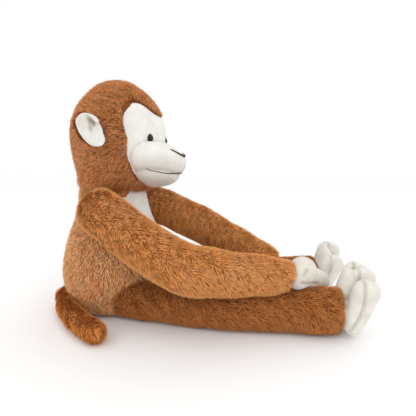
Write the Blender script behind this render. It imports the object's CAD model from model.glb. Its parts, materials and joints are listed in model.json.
import json
import math

import bpy
import numpy as np
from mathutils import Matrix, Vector, noise
from mathutils.bvhtree import BVHTree


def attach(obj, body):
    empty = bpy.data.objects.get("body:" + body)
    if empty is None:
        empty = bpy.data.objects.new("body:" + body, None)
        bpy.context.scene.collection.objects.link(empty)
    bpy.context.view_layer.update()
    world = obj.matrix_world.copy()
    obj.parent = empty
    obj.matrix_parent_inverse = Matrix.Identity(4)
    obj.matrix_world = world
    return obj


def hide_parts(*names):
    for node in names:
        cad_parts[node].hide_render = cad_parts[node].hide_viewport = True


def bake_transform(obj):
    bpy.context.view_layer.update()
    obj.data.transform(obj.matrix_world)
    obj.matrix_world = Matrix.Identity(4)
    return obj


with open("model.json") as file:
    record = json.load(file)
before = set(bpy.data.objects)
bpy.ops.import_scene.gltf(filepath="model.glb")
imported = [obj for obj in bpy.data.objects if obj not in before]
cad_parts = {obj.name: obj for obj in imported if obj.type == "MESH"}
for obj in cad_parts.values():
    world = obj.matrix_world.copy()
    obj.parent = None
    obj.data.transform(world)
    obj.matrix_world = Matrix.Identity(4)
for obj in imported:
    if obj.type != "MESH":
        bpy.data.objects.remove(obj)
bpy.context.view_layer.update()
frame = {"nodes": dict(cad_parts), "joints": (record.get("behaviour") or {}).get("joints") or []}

MM = 0.001
SIDES = {"left": 1, "right": -1}
JOINT = {j["name"]: Vector(j["pos_m"]) for j in frame["joints"]}

# Driving sizes
HEAD_Y = -11 * MM          # the head's middle, front to back
FUR_STEP = 1.55 * MM       # spacing of the tufts
FUR_LENGTH = 7.5 * MM      # length of a tuft
FLOOR_CLEAR = 0.4 * MM     # nothing reaches lower than this
AHEAD = -0.4               # a plane in front of the whole toy, from which places on its front are found
EAR_SPLAY = 39             # degrees that an ear turns back from square to the face
EAR_OUT = 22 * MM          # from an ear's root to its middle


# ---- modelling helpers ----

def deselect():
    if bpy.context.object and bpy.context.object.mode != "OBJECT":
        bpy.ops.object.mode_set(mode="OBJECT")
    bpy.ops.object.select_all(action="DESELECT")


def only(*pieces):
    """Selects these pieces and nothing else; the first one is active."""
    deselect()
    for piece in pieces:
        piece.select_set(True)
    bpy.context.view_layer.objects.active = pieces[0]


def settle(piece):
    """Leaves the piece's place in its mesh, with its object at the origin."""
    only(piece)
    bpy.ops.object.transform_apply(location=True, rotation=True, scale=True)


def take(name):
    piece = bpy.context.active_object
    piece.name = name
    piece.data.name = name
    return piece


def finish_with(piece, kind, **settings):
    """Adds a modifier and applies it."""
    only(piece)
    modifier = piece.modifiers.new(kind.title(), kind)
    for key, value in settings.items():
        setattr(modifier, key, value)
    bpy.ops.object.modifier_apply(modifier=modifier.name)


def smooth_shaded(piece):
    only(piece)
    bpy.ops.object.shade_smooth()


def outwards(piece, threshold=0.01 * MM):
    only(piece)
    bpy.ops.object.mode_set(mode="EDIT")
    bpy.ops.mesh.select_all(action="SELECT")
    bpy.ops.mesh.remove_doubles(threshold=threshold)
    bpy.ops.mesh.normals_make_consistent(inside=False)
    bpy.ops.object.mode_set(mode="OBJECT")


def turned_to(piece, way):
    """Flips an open sheet that faces away from this direction."""
    if Vector(point_normals(piece).mean(0)).dot(way) < 0:
        only(piece)
        bpy.ops.object.mode_set(mode="EDIT")
        bpy.ops.mesh.select_all(action="SELECT")
        bpy.ops.mesh.flip_normals()
        bpy.ops.object.mode_set(mode="OBJECT")


def surface(piece):
    """The piece's surface, to find places on it."""
    return BVHTree.FromObject(piece, bpy.context.evaluated_depsgraph_get())


def ball(at, size, turn=(0, 0, 0)):
    """A round lump; size is one radius or three."""
    deselect()
    bpy.ops.mesh.primitive_uv_sphere_add(segments=32, ring_count=20, radius=1, location=at, rotation=turn)
    lump = bpy.context.active_object
    lump.scale = (size,) * 3 if isinstance(size, float) else size
    settle(lump)
    return lump


def bar(a, b, ra, rb):
    """A tapered bar with ball ends, as three lumps."""
    a = Vector(a)
    b = Vector(b)
    deselect()
    bpy.ops.mesh.primitive_cone_add(
        vertices=28, radius1=ra, radius2=rb, depth=(b - a).length,
        location=(a + b) / 2, rotation=(b - a).to_track_quat("Z", "Y").to_euler(),
    )
    middle = bpy.context.active_object
    settle(middle)
    return [middle, ball(a, ra), ball(b, rb)]


def fused(name, lumps, voxel=1.6 * MM, rounds=6):
    """One closed skin round overlapping lumps, softened where they meet."""
    only(*lumps)
    bpy.ops.object.join()
    piece = take(name)
    finish_with(piece, "REMESH", mode="VOXEL", voxel_size=voxel)
    finish_with(piece, "SMOOTH", factor=0.5, iterations=rounds)
    smooth_shaded(piece)
    return piece


def lofted(name, rings, turn, sides):
    """A closed skin through rings of (centre, half width, half depth), all facing the same way."""
    deselect()
    centre, wide, deep = rings[0]
    bpy.ops.mesh.primitive_circle_add(
        vertices=sides, radius=1, fill_type="NGON", location=centre, rotation=turn
    )
    piece = take(name)
    piece.scale = (wide, deep, 1)
    settle(piece)
    bpy.ops.object.mode_set(mode="EDIT")
    bpy.ops.mesh.select_all(action="SELECT")
    for low, high in zip(rings, rings[1:]):
        step = Vector(high[0]) - Vector(low[0])
        bpy.ops.mesh.extrude_region_move(TRANSFORM_OT_translate={"value": step})
        grow = (high[1] / low[1], high[2] / low[2], 1)
        if high[1] == high[2]:
            grow = (high[1] / low[1],) * 3
        bpy.ops.transform.resize(value=grow, center_override=high[0])
    bpy.ops.object.mode_set(mode="OBJECT")
    finish_with(piece, "SUBSURF", levels=2, render_levels=2)
    outwards(piece)
    smooth_shaded(piece)
    return piece


def upright(name, rings, sides=28):
    """A skin through level rings of (height, front, back, half width) in millimetres, bottom first."""
    level = [
        (Vector((0, (front + back) / 2, z)) * MM, half * MM, (back - front) / 2 * MM)
        for z, front, back, half in rings
    ]
    return lofted(name, level, (0, 0, 0), sides)


def limb(name, stations, sides=24, end_depth=1.0):
    """A round skin along stations of (centre, radius), with domed ends; end_depth flattens the far one."""
    along = (stations[-1][0] - stations[0][0]).normalized()
    domes = [math.radians(a) for a in (18, 42, 66)]
    start, start_r = stations[0]
    end, end_r = stations[-1]
    rings = [(start - along * start_r * math.cos(a), start_r * math.sin(a)) for a in domes]
    rings += stations
    rings += [
        (end + along * end_r * math.cos(a) * end_depth, end_r * math.sin(a)) for a in reversed(domes)
    ]
    return lofted(
        name, [(c, r, r) for c, r in rings], along.to_track_quat("Z", "Y").to_euler(), sides
    )


def corners(piece):
    """The mesh's points, as an array."""
    co = np.empty(len(piece.data.vertices) * 3, np.float32)
    piece.data.vertices.foreach_get("co", co)
    return co.reshape(-1, 3).astype(float)


def place_corners(piece, co):
    piece.data.vertices.foreach_set("co", co.astype(np.float32).ravel())
    piece.data.update()


def point_normals(piece):
    n = np.empty(len(piece.data.vertices) * 3, np.float32)
    piece.data.vertex_normals.foreach_get("vector", n)
    return n.reshape(-1, 3).astype(float)


def knead(piece, amount, size, seed):
    """Soft lumps where the filling is uneven."""
    co = corners(piece)
    shift = Vector((seed * 3.1, seed * 7.7, seed * 1.3))
    lump = np.array([noise.noise(Vector(p) / size + shift) for p in co])
    place_corners(piece, co + point_normals(piece) * (lump * amount)[:, None])


def lift_off_floor(piece, clear=FLOOR_CLEAR):
    co = corners(piece)
    co[:, 2] = np.maximum(co[:, 2], clear)
    place_corners(piece, co)


def write_attribute(piece, name, values):
    attribute = piece.data.attributes.get(name) or piece.data.attributes.new(name, "FLOAT", "POINT")
    attribute.data.foreach_set("value", np.asarray(values, np.float32))


def read_attribute(piece, name):
    values = np.empty(len(piece.data.vertices), np.float32)
    piece.data.attributes[name].data.foreach_get("value", values)
    return values


# ---- fur ----

def waves(points, seed, size):
    """A smooth random field from -1 to 1 that swirls over about this size."""
    rng = np.random.default_rng(seed)
    total = np.zeros(len(points))
    for _ in range(5):
        way = rng.normal(size=3)
        way *= rng.uniform(0.6, 1.5) / size / np.linalg.norm(way)
        total += np.sin(points @ way * math.tau + rng.uniform(0, math.tau))
    return total / 3.2


def tuft_roots(piece, step, seed):
    """Evenly scattered points on the skin, with their normals."""
    mesh = piece.data
    mesh.calc_loop_triangles()
    corner = np.empty(len(mesh.loop_triangles) * 3, np.int32)
    mesh.loop_triangles.foreach_get("vertices", corner)
    corner = corner.reshape(-1, 3)
    co = corners(piece)
    normals = point_normals(piece)
    a, b, c = co[corner[:, 0]], co[corner[:, 1]], co[corner[:, 2]]
    area = np.linalg.norm(np.cross(b - a, c - a), axis=1) / 2
    rng = np.random.default_rng(seed)
    count = int(area.sum() / step ** 2 * 2.6)
    pick = rng.choice(len(area), count, p=area / area.sum())
    u, v = rng.random(count), rng.random(count)
    over = u + v > 1
    u[over], v[over] = 1 - u[over], 1 - v[over]
    w = 1 - u - v
    share = np.stack([w, u, v], 1)[:, :, None]
    points = (co[corner[pick]] * share).sum(1)
    facing = (normals[corner[pick]] * share).sum(1)
    facing /= np.linalg.norm(facing, axis=1)[:, None]
    cell = np.floor(points / step).astype(np.int64)
    _, keep = np.unique(cell, axis=0, return_index=True)
    keep.sort()
    return points[keep], facing[keep]


def grow_fur(piece, comb, seed, where=None, length=FUR_LENGTH, step=FUR_STEP, lean=0.62, swirl=0.5):
    """Sews tufts of pile into the skin, combed along comb(points), where the mask says."""
    points, normals = tuft_roots(piece, step, seed)
    if where is not None:
        keep = where(points, normals)
        points, normals = points[keep], normals[keep]
    rng = np.random.default_rng(seed + 1)
    count = len(points)
    way = comb(points)
    way = way - normals * (way * normals).sum(1)[:, None]
    way /= np.maximum(np.linalg.norm(way, axis=1), 1e-6)[:, None]
    across = np.cross(normals, way)
    turn = swirl * waves(points, seed + 2, 26 * MM) + 0.3 * waves(points, seed + 3, 9 * MM)
    turn += rng.normal(0, 0.16, count)
    run = way * np.cos(turn)[:, None] + across * np.sin(turn)[:, None]
    across = np.cross(normals, run)
    clump = waves(points, seed + 4, 12 * MM)
    tilt = np.clip(lean + 0.16 * clump + rng.normal(0, 0.07, count), 0.2, 0.92)[:, None]
    rise = np.sqrt(1 - tilt ** 2)
    if callable(length):
        length = length(points)
    size = (length * (1 + 0.16 * clump + rng.uniform(-0.22, 0.22, count)))[:, None]
    width = (0.56 * step * rng.uniform(0.75, 1.2, count))[:, None]
    root = points - normals * 0.5 * MM
    middle = root + (normals * rise + run * tilt * 0.8) * size * 0.5
    tip = middle + (normals * rise * 0.55 + run * (tilt + 0.35)) * size * 0.48
    flat = 0.42
    rings = []
    for centre, share in ((root, 1.0), (middle, 0.78)):
        for turn_share in (0, 1, 2):
            a = math.tau * turn_share / 3 + math.pi / 2
            rings.append(
                centre + across * width * share * math.cos(a) + normals * width * share * flat * math.sin(a)
            )
    verts = np.stack([*rings, tip], 1).reshape(-1, 3)
    verts[:, 2] = np.maximum(verts[:, 2], FLOOR_CLEAR)
    sides = np.array([[0, 1, 4, 3], [1, 2, 5, 4], [2, 0, 3, 5]])
    points_up = np.array([[3, 4, 6], [4, 5, 6], [5, 3, 6]])
    cap = np.array([[2, 1, 0]])
    first = (np.arange(count) * 7)[:, None, None]
    quads = (first + sides).reshape(-1)
    tris = (first + np.concatenate([points_up, cap])).reshape(-1)
    mesh = bpy.data.meshes.new(piece.name + "_tufts")
    mesh.vertices.add(len(verts))
    mesh.vertices.foreach_set("co", verts.astype(np.float32).ravel())
    mesh.loops.add(len(quads) + len(tris))
    mesh.loops.foreach_set("vertex_index", np.concatenate([quads, tris]).astype(np.int32))
    sizes = np.concatenate([np.full(len(quads) // 4, 4), np.full(len(tris) // 3, 3)])
    starts = np.concatenate([[0], np.cumsum(sizes)[:-1]])
    mesh.polygons.add(len(sizes))
    mesh.polygons.foreach_set("loop_start", starts.astype(np.int32))
    mesh.update(calc_edges=True)
    tufts = bpy.data.objects.new(piece.name + "_tufts", mesh)
    bpy.context.scene.collection.objects.link(tufts)
    write_attribute(tufts, "pile", np.tile([0, 0, 0, 0.55, 0.55, 0.55, 1], count))
    shade = np.clip(0.5 + 0.22 * rng.normal(size=count) + 0.16 * clump, 0, 1)
    write_attribute(tufts, "shade", np.repeat(shade, 7))
    write_attribute(piece, "pile", np.zeros(len(piece.data.vertices)))
    write_attribute(piece, "shade", np.full(len(piece.data.vertices), 0.3))
    smooth_shaded(tufts)
    only(piece, tufts)
    bpy.ops.object.join()
    return piece


def steady(*way):
    """Pile combed one way all over."""
    return lambda points: np.tile(np.array(way, float), (len(points), 1))


# ---- materials ----

def new_group(name, inputs, outputs):
    group = bpy.data.node_groups.new(name, "ShaderNodeTree")
    for label, kind, default in inputs:
        socket = group.interface.new_socket(label, in_out="INPUT", socket_type=kind)
        socket.default_value = default
    for label, kind in outputs:
        group.interface.new_socket(label, in_out="OUTPUT", socket_type=kind)
    return group, group.nodes.new("NodeGroupInput"), group.nodes.new("NodeGroupOutput")


def add_noise(nodes, links, vector, scale, detail=3.0):
    n = nodes.new("ShaderNodeTexNoise")
    n.inputs["Scale"].default_value = scale
    n.inputs["Detail"].default_value = detail
    links.new(vector, n.inputs["Vector"])
    return n.outputs["Fac"]


def own_place(nodes):
    return nodes.new("ShaderNodeTexCoord").outputs["Object"]


def own_value(nodes, name):
    n = nodes.new("ShaderNodeAttribute")
    n.attribute_name = name
    return n.outputs["Fac"]


def product(nodes, links, a, b):
    n = nodes.new("ShaderNodeMath")
    n.operation = "MULTIPLY"
    links.new(a, n.inputs[0])
    links.new(b, n.inputs[1])
    return n.outputs[0]


def add_bump(nodes, links, height, distance, normal):
    n = nodes.new("ShaderNodeBump")
    n.inputs["Distance"].default_value = distance
    links.new(height, n.inputs["Height"])
    links.new(n.outputs["Normal"], normal)
    return n


def set_inputs(node, values):
    for label, value in values.items():
        node.inputs[label].default_value = value


def ramp(nodes, links, value, low, high):
    """0 below low and 1 above high."""
    n = nodes.new("ShaderNodeMapRange")
    n.interpolation_type = "SMOOTHSTEP"
    n.inputs["From Min"].default_value = low
    n.inputs["From Max"].default_value = high
    links.new(value, n.inputs["Value"])
    return n.outputs["Result"]


def mixed(nodes, links, share, a, b, blend="MIX"):
    n = nodes.new("ShaderNodeMix")
    n.data_type = "RGBA"
    n.blend_type = blend
    for socket, value in (("Factor", share), ("A", a), ("B", b)):
        target = next(s for s in n.inputs if s.name == socket and s.enabled)
        if isinstance(value, bpy.types.NodeSocket):
            links.new(value, target)
        else:
            target.default_value = value
    return next(s for s in n.outputs if s.enabled)


def build_pile_colour():
    """Colour along a tuft: dark at the root, lighter at the tip, in patches of warmer and paler pile."""
    group, inside, outside = new_group(
        "Pile colour",
        [("Root", "NodeSocketColor", (0.1, 0.04, 0.01, 1)), ("Body", "NodeSocketColor", (0.4, 0.2, 0.1, 1)),
         ("Tip", "NodeSocketColor", (0.6, 0.4, 0.2, 1)), ("Pale", "NodeSocketColor", (0.6, 0.4, 0.3, 1)),
         ("Paleness", "NodeSocketFloat", 0.3)],
        [("Colour", "NodeSocketColor")],
    )
    nodes, links = group.nodes, group.links
    height = own_value(nodes, "pile")
    patches = ramp(nodes, links, add_noise(nodes, links, own_place(nodes), 26.0, 2.0), 0.35, 0.7)
    share = product(nodes, links, patches, inside.outputs["Paleness"])
    body = mixed(nodes, links, share, inside.outputs["Body"], inside.outputs["Pale"])
    tip = mixed(nodes, links, share, inside.outputs["Tip"], inside.outputs["Pale"])
    low = mixed(nodes, links, ramp(nodes, links, height, 0.0, 0.5), inside.outputs["Root"], body)
    full = mixed(nodes, links, ramp(nodes, links, height, 0.5, 1.0), low, tip)
    tone = nodes.new("ShaderNodeMapRange")
    tone.inputs["To Min"].default_value = 0.72
    tone.inputs["To Max"].default_value = 1.22
    links.new(own_value(nodes, "shade"), tone.inputs["Value"])
    toned = mixed(nodes, links, 1.0, full, tone.outputs["Result"], "MULTIPLY")
    links.new(toned, outside.inputs["Colour"])
    return group


def build_nap():
    """Short velour nap: fine fibres, soft cloudy shading and grubbier creases."""
    group, inside, outside = new_group(
        "Nap",
        [("Cloth", "NodeSocketColor", (0.8, 0.8, 0.8, 1)),
         ("Crease", "NodeSocketColor", (0.5, 0.45, 0.4, 1)),
         ("Clouds", "NodeSocketFloat", 0.25), ("Depth", "NodeSocketFloat", 0.2)],
        [("Colour", "NodeSocketColor"), ("Normal", "NodeSocketVector")],
    )
    nodes, links = group.nodes, group.links
    place = own_place(nodes)
    clouds = ramp(nodes, links, add_noise(nodes, links, place, 60.0, 4.0), 0.3, 0.75)
    share = product(nodes, links, clouds, inside.outputs["Clouds"])
    cloudy = mixed(nodes, links, share, inside.outputs["Cloth"], inside.outputs["Crease"])
    creased = mixed(nodes, links, own_value(nodes, "crease"), cloudy, inside.outputs["Crease"])
    links.new(creased, outside.inputs["Colour"])
    fibres = add_noise(nodes, links, place, 1500.0, 2.0)
    brushed = add_noise(nodes, links, place, 260.0, 3.0)
    total = nodes.new("ShaderNodeMath")
    total.operation = "MULTIPLY_ADD"
    links.new(fibres, total.inputs[0])
    total.inputs[1].default_value = 0.5
    links.new(brushed, total.inputs[2])
    bump = add_bump(nodes, links, total.outputs[0], 0.6 * MM, outside.inputs["Normal"])
    links.new(inside.outputs["Depth"], bump.inputs["Strength"])
    return group


PILE_COLOUR = build_pile_colour()
NAP = build_nap()


def new_material(name):
    material = bpy.data.materials.new(name)
    material.use_nodes = True
    nodes = material.node_tree.nodes
    return material, nodes, material.node_tree.links, nodes["Principled BSDF"]


def rgb(r, g, b):
    """A colour given as 0-255 screen values."""
    def linear(v):
        v /= 255
        return v / 12.92 if v <= 0.04045 else ((v + 0.055) / 1.055) ** 2.4
    return (linear(r), linear(g), linear(b), 1)


def fur_material(name, paleness, **colours):
    material, nodes, links, skin = new_material(name)
    colour = nodes.new("ShaderNodeGroup")
    colour.node_tree = PILE_COLOUR
    set_inputs(colour, {label.title(): rgb(*value) for label, value in colours.items()})
    set_inputs(colour, {"Paleness": paleness})
    links.new(colour.outputs["Colour"], skin.inputs["Base Color"])
    set_inputs(skin, {
        "Roughness": 0.72, "Specular IOR Level": 0.25, "Sheen Weight": 0.25, "Sheen Roughness": 0.45,
        "Sheen Tint": rgb(235, 170, 120),
    })
    return material


def velour_material(name, cloth, crease, clouds, depth):
    material, nodes, links, skin = new_material(name)
    nap = nodes.new("ShaderNodeGroup")
    nap.node_tree = NAP
    set_inputs(nap, {"Cloth": rgb(*cloth), "Crease": rgb(*crease), "Clouds": clouds, "Depth": depth})
    links.new(nap.outputs["Colour"], skin.inputs["Base Color"])
    links.new(nap.outputs["Normal"], skin.inputs["Normal"])
    set_inputs(skin, {
        "Roughness": 0.9, "Specular IOR Level": 0.15, "Sheen Weight": 0.35, "Sheen Roughness": 0.5,
    })
    return material


def grainy_material(name, light, dark, scale, roughness, bump_depth=0.3):
    """Plain stock with a fine grain, for filling, washers and thread."""
    material, nodes, links, skin = new_material(name)
    grain = add_noise(nodes, links, own_place(nodes), scale, 4.0)
    share = ramp(nodes, links, grain, 0.3, 0.7)
    links.new(mixed(nodes, links, share, rgb(*dark), rgb(*light)), skin.inputs["Base Color"])
    bump = add_bump(nodes, links, grain, 0.5 * MM, skin.inputs["Normal"])
    set_inputs(bump, {"Strength": bump_depth})
    set_inputs(skin, {"Roughness": roughness})
    return material


def eye_material():
    material, nodes, links, skin = new_material("eye black plastic")
    scuffs = add_noise(nodes, links, own_place(nodes), 300.0, 3.0)
    share = ramp(nodes, links, scuffs, 0.4, 0.8)
    links.new(mixed(nodes, links, share, rgb(4, 4, 5), rgb(14, 12, 12)), skin.inputs["Base Color"])
    links.new(ramp(nodes, links, scuffs, -1.2, 8.0), skin.inputs["Roughness"])
    set_inputs(skin, {"Specular IOR Level": 0.3, "Coat Weight": 0.25, "Coat Roughness": 0.03})
    return material


def pellet_material():
    material, nodes, links, skin = new_material("pellets")
    beads = nodes.new("ShaderNodeTexVoronoi")
    set_inputs(beads, {"Scale": 300.0})
    links.new(own_place(nodes), beads.inputs["Vector"])
    distance = beads.outputs["Distance"]
    links.new(
        mixed(nodes, links, distance, rgb(228, 226, 220), rgb(170, 168, 160)), skin.inputs["Base Color"]
    )
    add_bump(nodes, links, distance, 1.5 * MM, skin.inputs["Normal"]).invert = True
    set_inputs(skin, {"Roughness": 0.4})
    return material


BROWN = fur_material(
    "brown long pile", 0.38, root=(132, 70, 30), body=(202, 124, 63), tip=(236, 166, 106),
    pale=(228, 164, 116),
)
SLEEVE_PILE = fur_material(
    "golden sleeve pile", 0.4, root=(184, 102, 42), body=(240, 152, 76), tip=(252, 192, 120),
    pale=(246, 186, 126),
)
BACK_PILE = fur_material(
    "faded back pile", 0.5, root=(200, 124, 72), body=(248, 172, 108), tip=(254, 212, 154),
    pale=(252, 208, 158),
)
LEG_PILE = fur_material(
    "leg pile", 0.3, root=(134, 70, 28), body=(192, 114, 50), tip=(224, 148, 82), pale=(214, 144, 86)
)
TAIL_PILE = fur_material(
    "tail pile", 0.3, root=(176, 94, 38), body=(238, 144, 64), tip=(252, 180, 96), pale=(244, 170, 98)
)
VELOUR = velour_material("white velour", (235, 234, 228), (158, 149, 134), 0.16, 0.5)
SOLE_VELOUR = velour_material("sole velour", (234, 231, 222), (152, 140, 118), 0.22, 0.55)
HAND_VELOUR = velour_material("hand velour", (224, 220, 208), (150, 140, 122), 0.2, 0.55)
FIBRE = grainy_material("polyester fibre", (244, 244, 240), (214, 213, 206), 320.0, 0.95, 0.6)
THREAD = grainy_material("grey mouth thread", (74, 68, 66), (38, 33, 32), 1400.0, 0.7)
NOSE_THREAD = grainy_material("brown nose thread", (78, 48, 40), (40, 22, 20), 1400.0, 0.7)
WASHER = grainy_material("washer plastic", (232, 232, 228), (214, 214, 208), 240.0, 0.45, 0.1)
EYE = eye_material()
PELLETS = pellet_material()


def cover(piece, material):
    piece.data.materials.clear()
    piece.data.materials.append(material)


def sew_in(piece, body, material, nodes):
    """Gives a finished piece its material, its body and the CAD nodes that it stands for."""
    cover(piece, material)
    if body:
        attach(piece, body)
    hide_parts(*nodes)
    return piece


def sew_in_stuffed(pieces, body, material, parts, covers, side):
    """Sews in a limb's cover and the fibre inside it."""
    skin, filling = pieces
    sew_in(skin, body, material, [f"{p}{c}_{side}" for p in parts for c in covers])
    sew_in(filling, body, FIBRE, [f"{p}_stuffing_{side}" for p in parts])


# ---- torso ----

def torso_skin():
    rings = [
        (1.5, -50, 46, 52), (5, -66, 61, 67), (14, -76, 71, 76), (30, -81, 77, 80), (54, -84, 80, 82),
        (80, -81, 77, 79), (98, -76, 72, 73), (114, -71, 67, 65), (132, -64, 61, 55), (148, -58, 57, 47),
        (166, -53, 52, 45), (182, -50, 50, 48), (192, -46, 47, 46), (200, -38, 40, 38), (208, -24, 26, 24),
        (212, -10, 12, 10),
    ]
    skin = upright("torso_skin", rings)
    knead(skin, 3.2 * MM, 42 * MM, 3)
    lift_off_floor(skin, 1.2 * MM)
    return skin


def tummy_half(z):
    """Half the tummy panel's width, in millimetres like z: it widens towards its top."""
    return 38 + 0.12 * np.maximum(z - 130, 0)


def tummy_edge(x, z):
    """0 at the tummy panel's edge, positive inside it."""
    half = tummy_half(z / MM) * MM
    return 1 - np.maximum(np.abs(x) / half, np.hypot(x, z - 128 * MM) / (66 * MM))


def in_front(points):
    return points[:, 1] < HEAD_Y


def torso_fur(skin):
    def where(points, normals):
        panel = (tummy_edge(points[:, 0], points[:, 2]) > 0.02) & in_front(points)
        hidden = points[:, 2] > 200 * MM
        return ~panel & ~hidden

    def comb(points):
        return np.stack([points[:, 0] * 1.5, points[:, 1] * 1.5, np.full(len(points), -0.12)], 1)

    return grow_fur(skin, comb, seed=11, where=where, step=2.0 * MM, length=6.8 * MM)


def panel_on(name, skin, outline, centre, rings=14, proud=0.9 * MM, thick=2.4 * MM):
    """A sewn panel that follows the skin inside an outline of (x, z) points, seen from the front."""
    form = surface(skin)
    points = []
    for ring in range(1, rings + 1):
        share = ring / rings
        for x, z in outline:
            points.append((centre[0] + (x - centre[0]) * share, centre[1] + (z - centre[1]) * share))
    points.append(centre)
    verts = []
    for i, (x, z) in enumerate(points):
        hit, normal, _, _ = form.ray_cast(Vector((x, AHEAD, z)), Vector((0, 1, 0)))
        rim = i >= (rings - 1) * len(outline) and i < rings * len(outline)
        verts.append(hit + normal * (proud * (0.1 if rim else 1.0)))
    n = len(outline)
    faces = []
    for ring in range(rings - 1):
        for i in range(n):
            j = (i + 1) % n
            faces.append((ring * n + i, ring * n + j, (ring + 1) * n + j, (ring + 1) * n + i))
    middle = len(points) - 1
    faces += [(middle, (i + 1) % n, i) for i in range(n)]
    piece = bpy.data.objects.new(name, bpy.data.meshes.new(name))
    bpy.context.scene.collection.objects.link(piece)
    piece.data.from_pydata(verts, [], faces)
    piece.data.update()
    outwards(piece)
    turned_to(piece, Vector((0, -1, 0)))
    finish_with(piece, "SUBSURF", levels=1, render_levels=1)
    finish_with(piece, "SOLIDIFY", thickness=thick, offset=-1)
    smooth_shaded(piece)
    return piece


def arc(cx, cz, r, start, end, steps):
    """Points of an arc in the face's plane, angles in degrees from +X."""
    turns = [math.radians(start + (end - start) * i / steps) for i in range(steps + 1)]
    return [((cx + r * math.cos(a)) * MM, (cz + r * math.sin(a)) * MM) for a in turns]


def tummy_panel(skin):
    high = math.degrees(math.acos(38 / 66))
    outline = [(tummy_half(z) * MM, z * MM) for z in range(84, 176, 8)]
    outline += [(x * MM, (190 - 0.004 * x * x) * MM) for x in range(36, -37, -8)]
    outline += [(-tummy_half(z) * MM, z * MM) for z in range(172, 80, -8)]
    outline += arc(0, 128, 66, -180 + high, -high, 14)[1:-1]
    panel = panel_on("tummy_panel", skin, outline, (0, 128 * MM))
    write_attribute(panel, "crease", np.zeros(len(panel.data.vertices)))
    return panel


# ---- head ----

HEAD_RINGS = [
    (189, -48, 36, 42), (193, -58, 43, 50), (199, -64, 46, 54), (208, -69, 48, 57), (220, -72, 50, 61),
    (236, -74, 52, 64), (254, -76, 54, 66), (272, -77, 55, 66), (288, -77, 53, 65), (302, -75, 47, 62),
    (314, -68, 38, 56), (325, -58, 28, 47), (334, -46, 17, 36), (340, -35, 7, 24), (343.5, -26, -5, 11),
]


def head_skin():
    """The head, with a soft brow and nose bridge swelling forward between the eyes."""
    skin = upright("head_skin", HEAD_RINGS, sides=32)
    knead(skin, 1.6 * MM, 34 * MM, 5)
    co = corners(skin)
    front = np.clip((HEAD_Y - co[:, 1]) / (50 * MM), 0, 1)
    brow = np.clip((302 * MM - co[:, 2]) / (24 * MM), 0, 1)
    at_eyes = np.exp(-((co[:, 2] - 261 * MM) / (9 * MM)) ** 2)
    swell = 7 * MM * np.exp(-(co[:, 0] / (32 * MM)) ** 2) * (1 - 0.4 * at_eyes) + 0.09 * co[:, 0]
    co[:, 1] -= swell * brow * front
    place_corners(skin, co)
    return skin


def face_outline():
    """Two round lobes that meet in a dip over the brow, over cheeks that narrow to the jaw."""
    half = [
        (12, 197), (26, 199), (38, 204), (46, 213), (51, 226), (53.5, 238), (54.5, 252), (56, 265),
        (57.5, 278), (58, 289), (56.5, 300), (51.5, 308), (43, 311.5), (35, 308.5), (28, 301.5),
        (20, 297), (10, 295),
    ]
    right_half = [(x * MM, z * MM) for x, z in half]
    left_half = [(-x, z) for x, z in reversed(right_half)]
    return [(0, 196.5 * MM)] + right_half + [(0, 294.5 * MM)] + left_half


def in_outline(points, outline, grow=1.0, centre=(0, 255 * MM)):
    """Whether points lie inside an outline seen from the front, made larger or smaller about its middle."""
    x = (points[:, 0] - centre[0]) / grow + centre[0]
    z = (points[:, 2] - centre[1]) / grow + centre[1]
    inside = np.zeros(len(points), bool)
    for (xa, za), (xb, zb) in zip(outline, outline[1:] + outline[:1]):
        if za == zb:
            continue
        spans = (za > z) != (zb > z)
        inside ^= spans & (x < (xb - xa) * (z - za) / (zb - za) + xa)
    return inside


def head_fur(skin, outline):
    def where(points, normals):
        return ~(in_outline(points, outline, 0.985) & in_front(points)) & (points[:, 2] > 190 * MM)

    def comb(points):
        # away from the face, over the crown, down the back and down the cheeks
        away = points - np.array([0, -0.09, 0.262])
        down = np.clip((0.30 - points[:, 2]) / 0.08, 0, 1)
        away[:, 2] = away[:, 2] * (1 - down) - down * 0.09
        away[:, 1] += 0.02
        return away

    def jaw_length(points):
        # shaggier round the jaw
        return FUR_LENGTH * (1 + 0.9 * np.clip((216 * MM - points[:, 2]) / (16 * MM), 0, 1))

    return grow_fur(skin, comb, seed=21, where=where, length=jaw_length, lean=0.6)


def filling_of(skin, name):
    """The fibre that fills a skin, just inside it. Made before the skin gets its pile."""
    deselect()
    filling = skin.copy()
    filling.data = skin.data.copy()
    bpy.context.scene.collection.objects.link(filling)
    filling.name = name
    filling.data.name = name
    finish_with(filling, "DISPLACE", strength=-4.5 * MM, mid_level=0)
    return filling


def shade_seam(piece, other, width, amount):
    """Darkens the cloth where another piece is sewn against it."""
    form = surface(other)
    distance = np.array([form.find_nearest(Vector(p))[3] for p in corners(piece)])
    darker = amount * np.exp(-(distance / width) ** 2)
    write_attribute(piece, "crease", np.maximum(read_attribute(piece, "crease"), darker))


def soft_dent(co, normals, distance, depth, width):
    """Pulls points in where distance is near 0, as a seam does."""
    return co - normals * (depth * np.exp(-(distance / width) ** 2))[:, None]


def egg(name, at, size):
    """A smooth closed form; size is three radii."""
    piece = ball(at, size)
    piece.name = name
    piece.data.name = name
    finish_with(piece, "SUBSURF", levels=2, render_levels=2)
    smooth_shaded(piece)
    return piece


def curved_up(piece):
    """The snout and the chin rise towards the cheeks, like a smile."""
    co = corners(piece)
    co[:, 2] += 7 * MM * (co[:, 0] / (45 * MM)) ** 2
    place_corners(piece, co)


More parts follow.
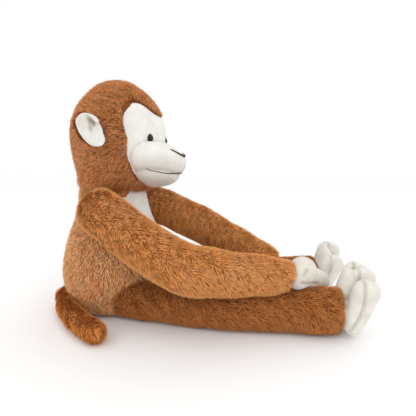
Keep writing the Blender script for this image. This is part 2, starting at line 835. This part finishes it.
def muzzle_piece():
    """One big round snout as wide as the face, with a short seam down its front."""
    piece = egg("muzzle_cover", (0, -66 * MM, 226 * MM), (55 * MM, 51 * MM, 33 * MM))
    curved_up(piece)
    knead(piece, 1.3 * MM, 30 * MM, 17)
    co = corners(piece)
    front = np.clip((-98 * MM - co[:, 1]) / (8 * MM), 0, 1)
    below_nose = np.clip((240 * MM - co[:, 2]) / (4 * MM), 0, 1)
    seam = front * below_nose * np.exp(-(co[:, 0] / (1.8 * MM)) ** 2)
    place_corners(piece, co - point_normals(piece) * (1.6 * MM * seam)[:, None])
    lip = np.clip((214 * MM + 7 * MM * (co[:, 0] / (45 * MM)) ** 2 - co[:, 2]) / (8 * MM), 0, 1)
    write_attribute(piece, "crease", np.maximum(0.5 * seam, 0.5 * lip))
    return piece


def chin_piece():
    piece = egg("chin_cover", (0, -66 * MM, 209 * MM), (46 * MM, 42 * MM, 22 * MM))
    curved_up(piece)
    knead(piece, 1.3 * MM, 26 * MM, 19)
    co = corners(piece)
    under = np.clip((203 * MM - co[:, 2]) / (16 * MM), 0, 1)
    write_attribute(piece, "crease", 0.45 * under)
    return piece


def thread(name, line, radius, skins, proud=0.3 * MM):
    """Stitched thread over (x, z) points, laid on the front of these skins and thin at its ends."""
    forms = [surface(skin) for skin in skins]
    deselect()
    bpy.ops.curve.primitive_nurbs_path_add()
    curve = bpy.context.active_object
    curve.data.splines.clear()
    spline = curve.data.splines.new("NURBS")
    spline.points.add(len(line) - 1)
    for i, (x, z) in enumerate(line):
        hits = [form.ray_cast(Vector((x, AHEAD, z)), Vector((0, 1, 0))) for form in forms]
        hits = [hit for hit in hits if hit[0]] or [forms[0].find_nearest(Vector((x, -70 * MM, z)))]
        spot, normal = min((hit[:2] for hit in hits), key=lambda hit: hit[0].y)
        spline.points[i].co = (*(spot + normal * proud), 1)
        spline.points[i].radius = 0.45 + 0.55 * min(1, 3.2 * min(i, len(line) - 1 - i) / len(line))
    spline.use_endpoint_u = True
    spline.order_u = 3
    curve.data.bevel_depth = radius
    curve.data.bevel_resolution = 3
    curve.data.use_fill_caps = True
    only(curve)
    bpy.ops.object.convert(target="MESH")
    piece = take(name)
    settle(piece)
    outwards(piece)
    smooth_shaded(piece)
    return piece


def mouth_line():
    """A long level mouth whose corners turn up."""
    line = []
    for x in np.linspace(-48.5, 48.5, 35):
        corner = max(0.0, (abs(x) - 30) / 19) ** 2
        line.append((x * MM, (209.6 + 8 * corner) * MM))
    return line


def nose_line():
    """A shallow stitched curve over the front of the snout."""
    return [(x * MM, (235 + 9 * (x / 31) ** 2) * MM) for x in np.linspace(-31, 31, 21)]


def eye_piece(side, face):
    """A glossy tall bead with a narrower top, set into the face."""
    sign = SIDES[side]
    out = {"left": 25.5, "right": 30.0}[side]
    start = Vector((sign * out * MM, AHEAD, 260.8 * MM))
    spot, _, _, _ = surface(face).ray_cast(start, Vector((0, 1, 0)))
    spot.y -= 0.5 * MM
    bead = ball(spot, (5.0 * MM, 4.4 * MM, 6.3 * MM), (0, 0, sign * math.radians(22)))
    bead.name = f"eye_bead_{side}"
    co = corners(bead)
    upper = np.clip((co[:, 2] - spot.z) / (6.3 * MM), 0, 1)
    middle = np.array(spot)[:2]
    co[:, :2] = middle + (co[:, :2] - middle) * (1 - 0.25 * upper)[:, None]
    place_corners(bead, co)
    finish_with(bead, "SUBSURF", levels=1, render_levels=1)
    smooth_shaded(bead)
    return bead


# ---- ears ----

# an ear's reach in millimetres at these angles round its middle: 0 points away from the head, 90 up
EAR_ANGLES = (-162, -142, -124, -106, -62, -35, -10, 10, 25, 53, 75, 92, 122, 135, 162, 198)
EAR_REACH = (15.2, 22.2, 23.9, 22.1, 16.6, 15.4, 16.4, 18.6, 21.4, 21.3, 20.4, 16.6, 13.8, 12.6, 12.6, 15.2)


def ear_spot(layer, angle, share):
    """(across, up, forward) in millimetres of a place on an ear; share is 0 in its middle, 1 at its rim."""
    reach = np.interp(angle, EAR_ANGLES, EAR_REACH)
    turn = math.radians(angle)
    out = reach * share
    cup = 6.0 * share ** 2 - 6.0
    if layer == "back":
        return 1.06 * out * math.cos(turn), 1.06 * out * math.sin(turn), cup - 5.2
    fold = math.exp(-((angle - 104) / 30) ** 4)
    curl = max(0.0, share - 0.66) / 0.34
    turned = min(curl / 0.45, 1.0) * math.pi
    folded = reach * 0.9 * min(share / 0.66, 1.0) + 2.4 * math.sin(turned) - 8.0 * max(0.0, curl - 0.45)
    out += (folded - out) * fold
    across = out * math.cos(turn)
    up = out * math.sin(turn)
    cup += fold * 2.4 * (1 - math.cos(turned)) * min(curl * 3, 1)
    cup -= 2.4 * fold * math.exp(-((share - 0.55) / 0.14) ** 2)
    groove = math.exp(-((across + 1.5) / 2.4) ** 2) * (1 - share) * (1.0 if up > 0 else 0.6)
    pad = math.exp(-((up + 7) / 4) ** 2) * (1 - share)
    return across, up, cup - 2.6 * groove + 1.6 * pad


def ear_layer(side, layer, rings=12, around=48):
    """One layer of an ear: the cupped velour front with its upper rim folded over, or the furry back."""
    sign = SIDES[side]
    splay = math.radians(EAR_SPLAY)
    across = Vector((math.cos(splay) * sign, math.sin(splay), 0))
    facing = Vector((math.sin(splay) * sign, -math.cos(splay), 0))
    centre = JOINT[f"{side}_ear_fold"] + across * EAR_OUT
    deselect()
    bpy.ops.mesh.primitive_grid_add(x_subdivisions=around, y_subdivisions=rings, size=2)
    piece = take(f"ear_{layer}_cloth_{side}")
    co = corners(piece)
    placed = []
    shadow = []
    for x, y, _ in co:
        angle, share = 18 + 180 * x, (y + 1) / 2 * 0.98 + 0.02
        u, v, w = ear_spot(layer, angle, share)
        placed.append(centre + across * (u * MM) + Vector((0, 0, v * MM)) + facing * (w * MM))
        shadow.append(math.exp(-((angle - 112) / 30) ** 4 - ((share - 0.54) / 0.13) ** 2))
    place_corners(piece, np.array(placed))
    write_attribute(piece, "crease", np.array(shadow))
    outwards(piece, 0.02 * MM)
    bpy.ops.object.mode_set(mode="EDIT")
    bpy.ops.mesh.select_all(action="DESELECT")
    bpy.ops.object.mode_set(mode="OBJECT")
    middle = centre + facing * (ear_spot(layer, 18, 0.02)[2] * MM)
    near = np.linalg.norm(corners(piece) - np.array(middle), axis=1) < 1.2 * MM
    piece.data.vertices.foreach_set("select", near)
    bpy.ops.object.mode_set(mode="EDIT")
    bpy.ops.mesh.merge(type="CENTER")
    bpy.ops.mesh.select_all(action="SELECT")
    bpy.ops.mesh.normals_make_consistent(inside=False)
    bpy.ops.object.mode_set(mode="OBJECT")
    turned_to(piece, facing)
    finish_with(piece, "SUBSURF", levels=1, render_levels=1)
    finish_with(piece, "SOLIDIFY", thickness=2.2 * MM, offset=-1)
    smooth_shaded(piece)
    return piece, centre, facing


def ear_pieces(side):
    front, centre, facing = ear_layer(side, "front")
    back, _, _ = ear_layer(side, "back")
    middle = np.array(centre + facing * (-6 * MM))
    depth = (corners(front) - middle) @ np.array(facing)
    shadow = np.maximum(read_attribute(front, "crease"), np.clip(0.1 - depth / (5 * MM), 0, 1))
    write_attribute(front, "crease", shadow)

    def behind(points, normals):
        return (normals @ np.array(facing) < -0.1) | (np.linalg.norm(points - middle, axis=1) > 18 * MM)

    grow_fur(
        back, lambda p: p - middle + np.array(facing) * 0.002, seed=31 + SIDES[side],
        where=behind, length=6 * MM, step=1.9 * MM, lean=0.75,
    )
    return {"front": front, "back": back}


# ---- arms, hands, legs, feet, tail ----

def between(a, b, share, drop=0.0):
    return a + (b - a) * share - Vector((0, 0, drop * MM))


# (share of the upper arm or the forearm, how far it hangs below the straight line, radius), in millimetres
SLEEVE = {
    "right": (
        [(0.0, 0, 30), (0.3, 6, 30.5), (0.65, 9, 30.5), (1.0, 8, 29.5)],
        [(0.3, 8, 27.5), (0.6, 7, 25.5), (0.79, 6, 22), (0.89, 5, 18.5)],
    ),
    "left": (
        [(0.0, -2, 30), (0.3, -6, 30), (0.65, -5, 30.5), (1.0, -1, 30)],
        [(0.3, 1, 28), (0.6, 2, 25), (0.79, 1, 21.5), (0.89, 0, 18)],
    ),
}


def bends_at(piece):
    """The piece is sewn in one and bends softly at its elbow or its knee."""
    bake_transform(piece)


def arm_skin(side):
    """The sleeve and its filling. It ends flat, just short of the wrist."""
    shoulder, elbow, wrist = (JOINT[f"{side}_{name}"] for name in ("shoulder", "elbow", "wrist"))
    upper, lower = SLEEVE[side]
    stations = [(between(shoulder, elbow, share, drop), r * MM) for share, drop, r in upper]
    stations += [(between(elbow, wrist, share, drop), r * MM) for share, drop, r in lower]
    skin = limb(f"arm_skin_{side}", stations, end_depth=0.25)
    knead(skin, 2.4 * MM, 30 * MM, 7 + SIDES[side])
    filling = filling_of(skin, f"arm_filling_{side}")
    way = (wrist - shoulder).normalized()
    grow_fur(skin, steady(way.x, way.y, way.z - 0.55), seed=41 + SIDES[side], lean=0.6)
    for piece in (skin, filling):
        bends_at(piece)
    return skin, filling


def dent_along(piece, a, b, depth, width, outward):
    """Presses a soft fold along a line on the piece's outer side; returns how near each point is."""
    co = corners(piece)
    a, b = (np.array(p)[1:] for p in (a, b))
    share = np.clip((co[:, 1:] - a) @ (b - a) / ((b - a) @ (b - a)), 0, 1)
    distance = np.linalg.norm(co[:, 1:] - a - share[:, None] * (b - a), axis=1)
    normals = point_normals(piece)
    near = np.exp(-(distance / width) ** 2) * np.clip(normals[:, 0] * outward * 2, 0, 1)
    place_corners(piece, co - normals * (depth * near)[:, None])
    return near


def hand_piece(side):
    """A velour mitten: a round back of the hand and folded-down fingers."""
    sign = SIDES[side]
    wrist = JOINT[f"{side}_wrist"]
    reach = wrist + Vector({"right": (37, -39, -19), "left": (-14, -44, -19)}[side]) * MM
    way = (reach - wrist).normalized()
    lift, r, palm = {"right": (6, 19, 18), "left": (-7, 13.5, 15.5)}[side]
    heel = wrist - way * 2 * MM - Vector((0, 0, 4 * MM))
    lumps = bar(heel, wrist + way * 8 * MM, (palm - 0.5) * MM, palm * MM)
    lumps.append(ball(between(wrist, reach, 0.18, -lift), r * MM))
    lumps += bar(between(wrist, reach, 0.4, 1), between(wrist, reach, 0.93, 4), 17.0 * MM, 15.0 * MM)
    piece = fused(f"mitten_{side}", lumps, voxel=1.5 * MM, rounds=8)
    lift_off_floor(piece)

    def dent(start, end, depth, width):
        a, b = (wrist + Vector((0, y, z)) * MM for y, z in (start, end))
        return dent_along(piece, a, b, depth * MM, width * MM, sign)

    fold = dent((-2, -6), (-26, -14), 2.0, 2.6)
    dimple = dent((-4, 3), (-9, 9), 1.4, 2.2)
    write_attribute(piece, "crease", 0.6 * np.maximum(fold, 0.7 * dimple))
    return piece


def leg_skin(side):
    """The leg's cover, which flares into a cuff round the ankle, and its filling."""
    hip, knee, ankle = (JOINT[f"{side}_{name}"] for name in ("hip", "knee", "ankle"))
    stations = [
        (between(hip, knee, 0.0, 2), 25.0 * MM), (between(hip, knee, 0.35, 2), 25.0 * MM),
        (between(hip, knee, 0.7, 2), 25.5 * MM), (between(hip, knee, 1.0, 2), 25.8 * MM),
        (between(knee, ankle, 0.35, 2), 25.6 * MM), (between(knee, ankle, 0.7, 1), 26.0 * MM),
        (between(knee, ankle, 0.83, 0), 27.5 * MM), (between(knee, ankle, 0.94, -1), 28.5 * MM),
    ]
    skin = limb(f"leg_skin_{side}", stations, end_depth=0.22)
    knead(skin, 2.0 * MM, 28 * MM, 9 + SIDES[side])
    lift_off_floor(skin, 0.8 * MM)
    filling = filling_of(skin, f"leg_filling_{side}")
    way = (ankle - hip).normalized()
    grow_fur(skin, steady(way.x, way.y, way.z - 0.7), seed=51 + SIDES[side], lean=0.6)
    for piece in (skin, filling):
        bends_at(piece)
    return skin, filling


# (how far forward, lowest, highest) of the outer, middle and inner toe lobes
TOES = {
    "right": ((20, 7, 81), (22, 1, 90), (19, 5, 92)),
    "left": ((19, 7, 84), (20, 1, 88), (21, 5, 70)),
}
TOE_PITCH = 20 * MM
TOE_SQUEEZE = 0.6            # how much narrower than round a toe lobe is


def seam_y(ankle, z):
    """Where the side seam of a foot lies: straight down the side, then back under the heel."""
    return ankle.y - 15 * MM + 12 * MM * max(0.0, (58 * MM - z) / (40 * MM)) ** 2


def seam_spots(foot, ankle, count=84):
    """Points on the foot along its side seam, with their normals."""
    form = surface(foot)
    middle = Vector((ankle.x, 0, 46 * MM))
    spots = []
    for i in range(count):
        turn = math.tau * i / count
        way = Vector((math.cos(turn), 0, math.sin(turn)))
        z = middle.z + 30 * MM * way.z
        for _ in range(3):
            start = middle + way * 90 * MM
            start.y = seam_y(ankle, z)
            spot, normal, _, _ = form.ray_cast(start, -way)
            z = spot.z
        spots.append((spot, normal))
    return spots


def foot_piece(side):
    """An upright foot of three stuffed toe lobes side by side, with a stitched seam down its sides."""
    sign = SIDES[side]
    ankle = JOINT[f"{side}_ankle"]
    toe, heel = 17.5 * MM, 13.5 * MM
    lumps = [
        ball(ankle + Vector((0, 2 * MM, 0)), 23.5 * MM),
        ball((ankle.x - sign * 7 * MM, ankle.y - 7 * MM, 45 * MM), (20 * MM, 16 * MM, 40 * MM)),
    ]
    for i, (forward, low, top) in enumerate(TOES[side]):
        x = ankle.x + sign * (1 - i) * TOE_PITCH
        lobe = bar(
            (0, ankle.y - 7 * MM, low * MM + heel), (0, ankle.y - forward * MM, top * MM - toe), heel, toe
        )
        for lump in lobe:
            lump.scale.x = TOE_SQUEEZE
            lump.location.x = x
            settle(lump)
        lumps += lobe
    piece = fused(f"foot_{side}", lumps, voxel=1.4 * MM, rounds=2)
    co = corners(piece)
    splits = [ankle.x + sign * (0.5 - i) * TOE_PITCH for i in (0, 1)]
    for split in splits:
        co = soft_dent(co, point_normals(piece), co[:, 0] - split, 1.6 * MM, 1.8 * MM)
    place_corners(piece, co)
    lift_off_floor(piece)
    spots = seam_spots(piece, ankle)
    co = corners(piece)
    from_seam = np.array([abs(p[1] - seam_y(ankle, p[2])) for p in co])
    normals = point_normals(piece)
    beside = np.exp(-(from_seam / (2.0 * MM)) ** 2) * np.clip(1.3 - np.abs(normals[:, 1]) * 2, 0, 1)
    place_corners(piece, co - normals * (1.0 * MM * beside)[:, None])
    lift_off_floor(piece)
    split = np.min([np.abs(co[:, 0] - s) for s in splits], axis=0)
    write_attribute(piece, "crease", np.maximum(0.5 * np.exp(-(split / (1.6 * MM)) ** 2), 0.55 * beside))
    filling = filling_of(piece, f"foot_filling_{side}")
    stitches = []
    for i, (spot, normal) in enumerate(spots):
        follow = (spots[(i + 1) % len(spots)][0] - spots[i - 1][0]).normalized()
        if spot.z < 3 * MM:
            continue
        deselect()
        bpy.ops.mesh.primitive_uv_sphere_add(
            segments=8, ring_count=6, radius=1, location=spot - normal * 0.3 * MM,
            rotation=follow.to_track_quat("Z", "Y").to_euler(),
        )
        stitch = bpy.context.active_object
        stitch.scale = (0.75 * MM, 0.75 * MM, 1.35 * MM)
        settle(stitch)
        write_attribute(stitch, "crease", np.zeros(len(stitch.data.vertices)))
        smooth_shaded(stitch)
        stitches.append(stitch)
    only(piece, *stitches)
    bpy.ops.object.join()
    return piece, filling


def tail_skin():
    """The tail, curled to the monkey's right, and its filling."""
    centre = Vector((92, -154, 17)) * MM
    bend = 260 * MM
    stations = []
    for degrees in range(118, 151, 4):
        a = math.radians(degrees)
        stations.append((centre + Vector((math.cos(a), math.sin(a), -0.01)) * bend, 11.6 * MM))
    skin = limb("tail_skin", stations, sides=20)
    knead(skin, 1.4 * MM, 20 * MM, 13)
    lift_off_floor(skin, 0.8 * MM)
    filling = filling_of(skin, "tail_filling")
    way = (stations[-1][0] - stations[0][0]).normalized()
    grow_fur(skin, steady(way.x, way.y, way.z - 0.3), seed=61, lean=0.62)
    return skin, filling


# ---- stage ----

def make_camera():
    camera = bpy.data.objects.new("camera", bpy.data.cameras.new("camera"))
    bpy.context.scene.collection.objects.link(camera)
    camera.location = (-0.4838, -0.202, 0.2225)
    aim = Vector((0, -0.152, 0.155))
    camera.rotation_euler = (aim - camera.location).to_track_quat("-Z", "Y").to_euler()
    camera.data.sensor_width = 36
    camera.data.lens = 27.06
    camera.data.clip_start = 0.01
    bpy.context.scene.camera = camera
    bpy.context.scene.view_settings.view_transform = "Standard"


def make_stage():
    deselect()
    bpy.ops.mesh.primitive_plane_add(size=12, location=(0, 0, 0))
    floor = take("floor")
    material, _, _, skin = new_material("floor paint")
    set_inputs(skin, {"Base Color": (0.98, 0.98, 0.98, 1), "Roughness": 0.9})
    cover(floor, material)
    world = bpy.context.scene.world or bpy.data.worlds.new("world")
    bpy.context.scene.world = world
    world.use_nodes = True
    set_inputs(world.node_tree.nodes["Background"], {"Color": (1, 1, 1, 1), "Strength": 1.0})
    for name, at, size, power in (
        ("key", (-0.9, -0.9, 1.5), 1.2, 4),
        ("fill", (-0.9, 0.9, 0.9), 1.4, 1.5),
        ("top", (0.3, -0.1, 1.6), 1.4, 1),
    ):
        light = bpy.data.objects.new(name, bpy.data.lights.new(name, "AREA"))
        bpy.context.scene.collection.objects.link(light)
        light.data.shape = "DISK"
        light.data.size = size
        light.data.energy = power
        light.location = at
        aim = Vector((0, -0.15, 0.15)) - light.location
        light.rotation_euler = aim.to_track_quat("-Z", "Y").to_euler()


# ---- assembly ----

make_camera()
make_stage()

torso = torso_skin()
tummy = tummy_panel(torso)
body_filling = filling_of(torso, "body_filling")
torso_fur(torso)
sew_in(torso, "torso", BACK_PILE, ["body_fur"])
sew_in(tummy, "torso", VELOUR, ["tummy_patch"])
sew_in(body_filling, "torso", FIBRE, ["body_stuffing"])

head = head_skin()
outline = face_outline()
filling = filling_of(head, "head_filling")
face = panel_on("face_panel", head, outline, (0, 250 * MM), rings=16)
write_attribute(face, "crease", np.zeros(len(face.data.vertices)))
head_fur(head, outline)
sew_in(head, "head", BROWN, ["head_fur"])
sew_in(filling, "head", FIBRE, ["head_stuffing"])
sew_in(face, "head", VELOUR, ["face_patch"])

muzzle = sew_in(muzzle_piece(), "head", VELOUR, ["muzzle"])
chin = sew_in(chin_piece(), "head", VELOUR, ["chin"])
for piece, other in ((face, muzzle), (muzzle, face), (muzzle, chin), (chin, muzzle)):
    shade_seam(piece, other, 1.6 * MM, 0.3)
mouth = thread("mouth_thread", mouth_line(), 1.0 * MM, [muzzle, chin])
sew_in(mouth, "head", THREAD, ["mouth_stitch"])
nose = thread("nose_thread", nose_line(), 1.5 * MM, [muzzle], 1.0 * MM)
sew_in(nose, "head", NOSE_THREAD, ["nose_stitch"])

for side in SIDES:
    sew_in(eye_piece(side, face), "head", EYE, [f"eye_{side}"])
    ears = ear_pieces(side)
    sew_in(ears["front"], f"{side}_ear", VELOUR, [f"ear_front_{side}"])
    sew_in(ears["back"], f"{side}_ear", BROWN, [f"ear_back_{side}"])
    sew_in_stuffed(
        arm_skin(side), None, SLEEVE_PILE, ("upper_arm", "forearm"), ("_fur",), side
    )
    hand = hand_piece(side)
    filling = filling_of(hand, f"hand_filling_{side}")
    sew_in_stuffed(
        (hand, filling), f"{side}_hand", HAND_VELOUR, ("hand",), ("",), side
    )
    sew_in_stuffed(leg_skin(side), None, LEG_PILE, ("thigh", "shin"), ("_fur",), side)
    sew_in_stuffed(
        foot_piece(side), f"{side}_foot", SOLE_VELOUR, ("foot",), ("_top", "_sole"), side,
    )

tail, tail_filling = tail_skin()
sew_in(tail, "tail", TAIL_PILE, ["tail_fur"])
sew_in(tail_filling, "tail", FIBRE, ["tail_stuffing"])

# the hidden parts that keep their drawn shape
for name, node in frame["nodes"].items():
    if node.hide_render:
        continue
    cover(node, {"seat_pellets": PELLETS, "eye_washers": WASHER}.get(name, FIBRE))
